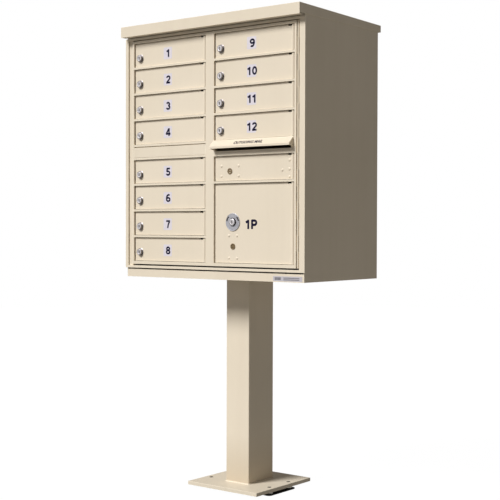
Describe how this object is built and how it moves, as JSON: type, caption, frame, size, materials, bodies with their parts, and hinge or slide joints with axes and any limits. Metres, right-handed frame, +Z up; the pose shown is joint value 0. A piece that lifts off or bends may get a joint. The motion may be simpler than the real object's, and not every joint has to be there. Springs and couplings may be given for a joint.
{
  "type": "cluster mailbox unit",
  "caption": "Pedestal cluster mailbox: tenant doors, parcel locker and outgoing mail slot in one hinged front door on a steel cabinet with a sloped roof cap.",
  "frame": {"origin": "centre of the anchor bolt pattern, on the ground under the anchor straps", "axes": "+Z up, +X to the right seen from the front, +Y to the back, so the doors face -Y"},
  "size_m": [0.769, 0.471, 1.59],
  "materials": {
    "cabinet_paint": "satin sandstone powder coat",
    "door_paint": "satin sandstone powder coat",
    "inside_paint": "satin sandstone powder coat, thinner inside",
    "dark_steel": "dark weathered steel",
    "zinc": "bright zinc plate",
    "lock_zinc": "satin nickel die casting",
    "steel_rod": "drawn steel",
    "bronze": "aged bronze",
    "label_vinyl": "pale vinyl label film",
    "ink": "dark printed ink"
  },
  "bodies": {
    "cabinet": {"base_plate": "cabinet_paint", "anchor_feet": "dark_steel", "pedestal_tube": "cabinet_paint", "pedestal_head_plate": "cabinet_paint", "pedestal_bolts": "zinc", "floor_pan": "cabinet_paint", "left_side_panel": "cabinet_paint", "right_side_panel": "cabinet_paint", "back_panel": "cabinet_paint", "roof_cap": "cabinet_paint", "door_jambs": "cabinet_paint", "compartment_divider": "inside_paint", "shelves": "inside_paint"},
    "master_door": {"master_frame": "door_paint", "rail_cover": "door_paint", "mail_hood": "door_paint", "hinge_rods": "steel_rod"},
    "latch": {"latch_bar": "zinc"},
    "outgoing_door": {"outgoing_door": "door_paint", "outgoing_key_shield": "bronze"},
    "parcel_door": {"parcel_door": "door_paint", "parcel_lock_body": "lock_zinc", "parcel_key_shield": "bronze"},
    "parcel_lock": {"parcel_lock_plug": "lock_zinc"},
    "tenant_door_01": {"door_01": "door_paint", "lock_body_01": "lock_zinc"},
    "tenant_lock_01": {"lock_plug_01": "lock_zinc"},
    "tenant_door_02": {"door_02": "door_paint", "lock_body_02": "lock_zinc"},
    "tenant_lock_02": {"lock_plug_02": "lock_zinc"},
    "tenant_door_03": {"door_03": "door_paint", "lock_body_03": "lock_zinc"},
    "tenant_lock_03": {"lock_plug_03": "lock_zinc"},
    "tenant_door_04": {"door_04": "door_paint", "lock_body_04": "lock_zinc"},
    "tenant_lock_04": {"lock_plug_04": "lock_zinc"},
    "tenant_door_05": {"door_05": "door_paint", "lock_body_05": "lock_zinc"},
    "tenant_lock_05": {"lock_plug_05": "lock_zinc"},
    "tenant_door_06": {"door_06": "door_paint", "lock_body_06": "lock_zinc"},
    "tenant_lock_06": {"lock_plug_06": "lock_zinc"},
    "tenant_door_07": {"door_07": "door_paint", "lock_body_07": "lock_zinc"},
    "tenant_lock_07": {"lock_plug_07": "lock_zinc"},
    "tenant_door_08": {"door_08": "door_paint", "lock_body_08": "lock_zinc"},
    "tenant_lock_08": {"lock_plug_08": "lock_zinc"},
    "tenant_door_09": {"door_09": "door_paint", "lock_body_09": "lock_zinc"},
    "tenant_lock_09": {"lock_plug_09": "lock_zinc"},
    "tenant_door_10": {"door_10": "door_paint", "lock_body_10": "lock_zinc"},
    "tenant_lock_10": {"lock_plug_10": "lock_zinc"},
    "tenant_door_11": {"door_11": "door_paint", "lock_body_11": "lock_zinc"},
    "tenant_lock_11": {"lock_plug_11": "lock_zinc"},
    "tenant_door_12": {"door_12": "door_paint", "lock_body_12": "lock_zinc"},
    "tenant_lock_12": {"lock_plug_12": "lock_zinc"}
  },
  "joints": [
    {"name": "master_hinge", "type": "hinge", "parent": "cabinet", "child": "master_door", "pos_m": [0.3573, -0.214, 1.1548], "axis": [0, 0, 1], "range_deg": [0, 105]},
    {"name": "latch_slide", "type": "slide", "parent": "master_door", "child": "latch", "axis": [-1, 0, 0], "range_m": [0, 0.014]},
    {"name": "outgoing_hinge", "type": "hinge", "parent": "master_door", "child": "outgoing_door", "pos_m": [0.3355, -0.2095, 1.08875], "axis": [0, 0, 1], "range_deg": [0, 100]},
    {"name": "parcel_hinge", "type": "hinge", "parent": "master_door", "child": "parcel_door", "pos_m": [0.3355, -0.2095, 0.9101], "axis": [0, 0, 1], "range_deg": [0, 100]},
    {"name": "parcel_lock_turn", "type": "hinge", "parent": "parcel_door", "child": "parcel_lock", "pos_m": [0.0945, -0.208, 0.914], "axis": [0, -1, 0], "range_deg": [0, 90]},
    {"name": "door_hinge_01", "type": "hinge", "parent": "master_door", "child": "tenant_door_01", "pos_m": [-0.0265, -0.2095, 1.49125], "axis": [0, 0, 1], "range_deg": [0, 100]},
    {"name": "lock_turn_01", "type": "hinge", "parent": "tenant_door_01", "child": "tenant_lock_01", "pos_m": [-0.319, -0.208, 1.481], "axis": [0, -1, 0], "range_deg": [0, 90]},
    {"name": "door_hinge_02", "type": "hinge", "parent": "master_door", "child": "tenant_door_02", "pos_m": [-0.0265, -0.2095, 1.40195], "axis": [0, 0, 1], "range_deg": [0, 100]},
    {"name": "lock_turn_02", "type": "hinge", "parent": "tenant_door_02", "child": "tenant_lock_02", "pos_m": [-0.319, -0.208, 1.3917], "axis": [0, -1, 0], "range_deg": [0, 90]},
    {"name": "door_hinge_03", "type": "hinge", "parent": "master_door", "child": "tenant_door_03", "pos_m": [-0.0265, -0.2095, 1.31265], "axis": [0, 0, 1], "range_deg": [0, 100]},
    {"name": "lock_turn_03", "type": "hinge", "parent": "tenant_door_03", "child": "tenant_lock_03", "pos_m": [-0.319, -0.208, 1.3024], "axis": [0, -1, 0], "range_deg": [0, 90]},
    {"name": "door_hinge_04", "type": "hinge", "parent": "master_door", "child": "tenant_door_04", "pos_m": [-0.0265, -0.2095, 1.22335], "axis": [0, 0, 1], "range_deg": [0, 100]},
    {"name": "lock_turn_04", "type": "hinge", "parent": "tenant_door_04", "child": "tenant_lock_04", "pos_m": [-0.319, -0.208, 1.2131], "axis": [0, -1, 0], "range_deg": [0, 90]},
    {"name": "door_hinge_05", "type": "hinge", "parent": "master_door", "child": "tenant_door_05", "pos_m": [-0.0265, -0.2095, 1.08875], "axis": [0, 0, 1], "range_deg": [0, 100]},
    {"name": "lock_turn_05", "type": "hinge", "parent": "tenant_door_05", "child": "tenant_lock_05", "pos_m": [-0.319, -0.208, 1.0785], "axis": [0, -1, 0], "range_deg": [0, 90]},
    {"name": "door_hinge_06", "type": "hinge", "parent": "master_door", "child": "tenant_door_06", "pos_m": [-0.0265, -0.2095, 0.99945], "axis": [0, 0, 1], "range_deg": [0, 100]},
    {"name": "lock_turn_06", "type": "hinge", "parent": "tenant_door_06", "child": "tenant_lock_06", "pos_m": [-0.319, -0.208, 0.9892], "axis": [0, -1, 0], "range_deg": [0, 90]},
    {"name": "door_hinge_07", "type": "hinge", "parent": "master_door", "child": "tenant_door_07", "pos_m": [-0.0265, -0.2095, 0.91015], "axis": [0, 0, 1], "range_deg": [0, 100]},
    {"name": "lock_turn_07", "type": "hinge", "parent": "tenant_door_07", "child": "tenant_lock_07", "pos_m": [-0.319, -0.208, 0.8999], "axis": [0, -1, 0], "range_deg": [0, 90]},
    {"name": "door_hinge_08", "type": "hinge", "parent": "master_door", "child": "tenant_door_08", "pos_m": [-0.0265, -0.2095, 0.82085], "axis": [0, 0, 1], "range_deg": [0, 100]},
    {"name": "lock_turn_08", "type": "hinge", "parent": "tenant_door_08", "child": "tenant_lock_08", "pos_m": [-0.319, -0.208, 0.8106], "axis": [0, -1, 0], "range_deg": [0, 90]},
    {"name": "door_hinge_09", "type": "hinge", "parent": "master_door", "child": "tenant_door_09", "pos_m": [0.3355, -0.2095, 1.49125], "axis": [0, 0, 1], "range_deg": [0, 100]},
    {"name": "lock_turn_09", "type": "hinge", "parent": "tenant_door_09", "child": "tenant_lock_09", "pos_m": [0.043, -0.208, 1.481], "axis": [0, -1, 0], "range_deg": [0, 90]},
    {"name": "door_hinge_10", "type": "hinge", "parent": "master_door", "child": "tenant_door_10", "pos_m": [0.3355, -0.2095, 1.40195], "axis": [0, 0, 1], "range_deg": [0, 100]},
    {"name": "lock_turn_10", "type": "hinge", "parent": "tenant_door_10", "child": "tenant_lock_10", "pos_m": [0.043, -0.208, 1.3917], "axis": [0, -1, 0], "range_deg": [0, 90]},
    {"name": "door_hinge_11", "type": "hinge", "parent": "master_door", "child": "tenant_door_11", "pos_m": [0.3355, -0.2095, 1.31265], "axis": [0, 0, 1], "range_deg": [0, 100]},
    {"name": "lock_turn_11", "type": "hinge", "parent": "tenant_door_11", "child": "tenant_lock_11", "pos_m": [0.043, -0.208, 1.3024], "axis": [0, -1, 0], "range_deg": [0, 90]},
    {"name": "door_hinge_12", "type": "hinge", "parent": "master_door", "child": "tenant_door_12", "pos_m": [0.3355, -0.2095, 1.22335], "axis": [0, 0, 1], "range_deg": [0, 100]},
    {"name": "lock_turn_12", "type": "hinge", "parent": "tenant_door_12", "child": "tenant_lock_12", "pos_m": [0.043, -0.208, 1.2131], "axis": [0, -1, 0], "range_deg": [0, 90]}
  ]
}
